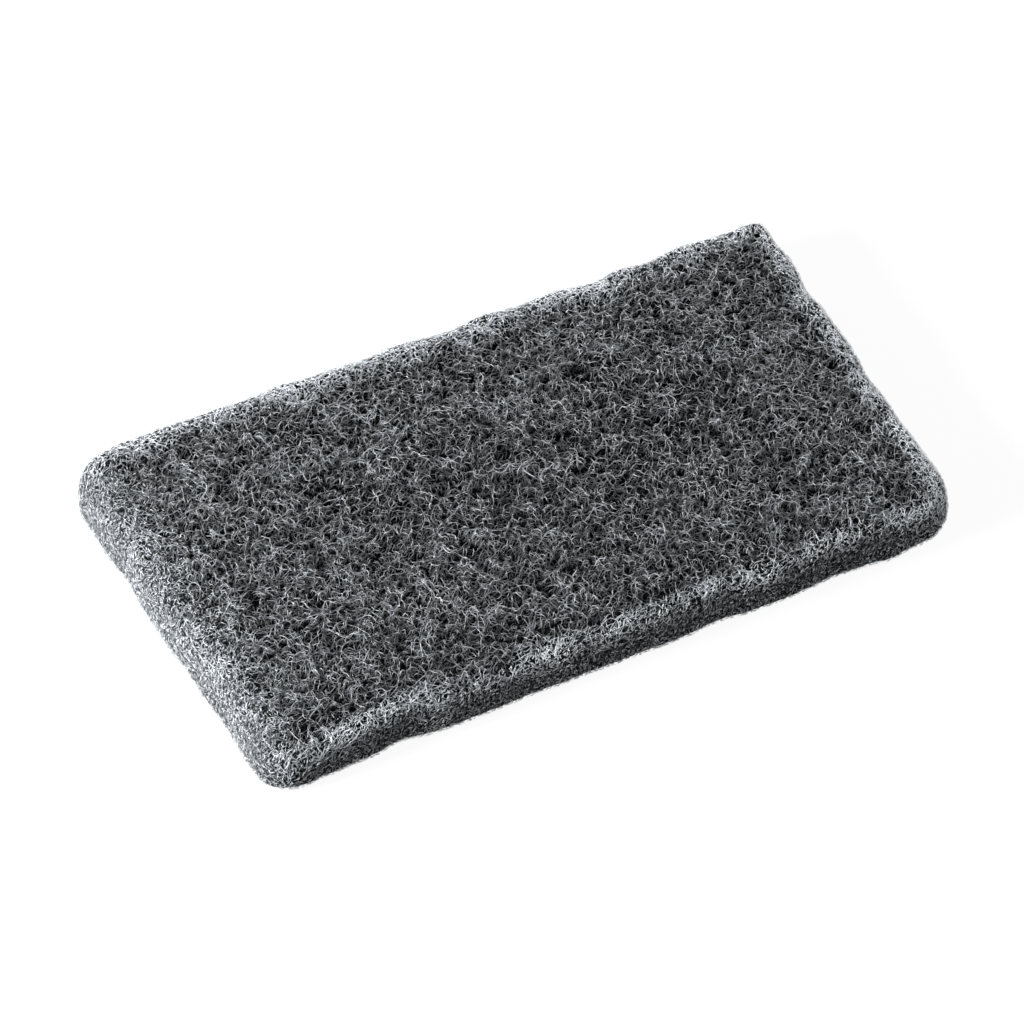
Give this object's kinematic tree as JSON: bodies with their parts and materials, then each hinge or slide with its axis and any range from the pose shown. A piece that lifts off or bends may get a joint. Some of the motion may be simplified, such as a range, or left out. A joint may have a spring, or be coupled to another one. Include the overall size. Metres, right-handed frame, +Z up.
{
  "type": "abrasive hand pad",
  "caption": "Thick rectangular slab of coarse charcoal-grey nonwoven web with soft cut edges, held flat in the hand to scour and abrade surfaces.",
  "frame": {"origin": "middle of the pad's box in plan, on the plane that the underside rests on", "axes": "+X along the pad's length, +Y across its width towards the longer edge, +Z up out of the upper face"},
  "size_m": [0.1542, 0.0908, 0.012],
  "materials": {
    "nonwoven_web": "open web of coarse charcoal-grey synthetic fibre, bonded with dull gritty resin"
  },
  "bodies": {
    "root": {"abrasive_pad": "nonwoven_web"}
  },
  "joints": []
}
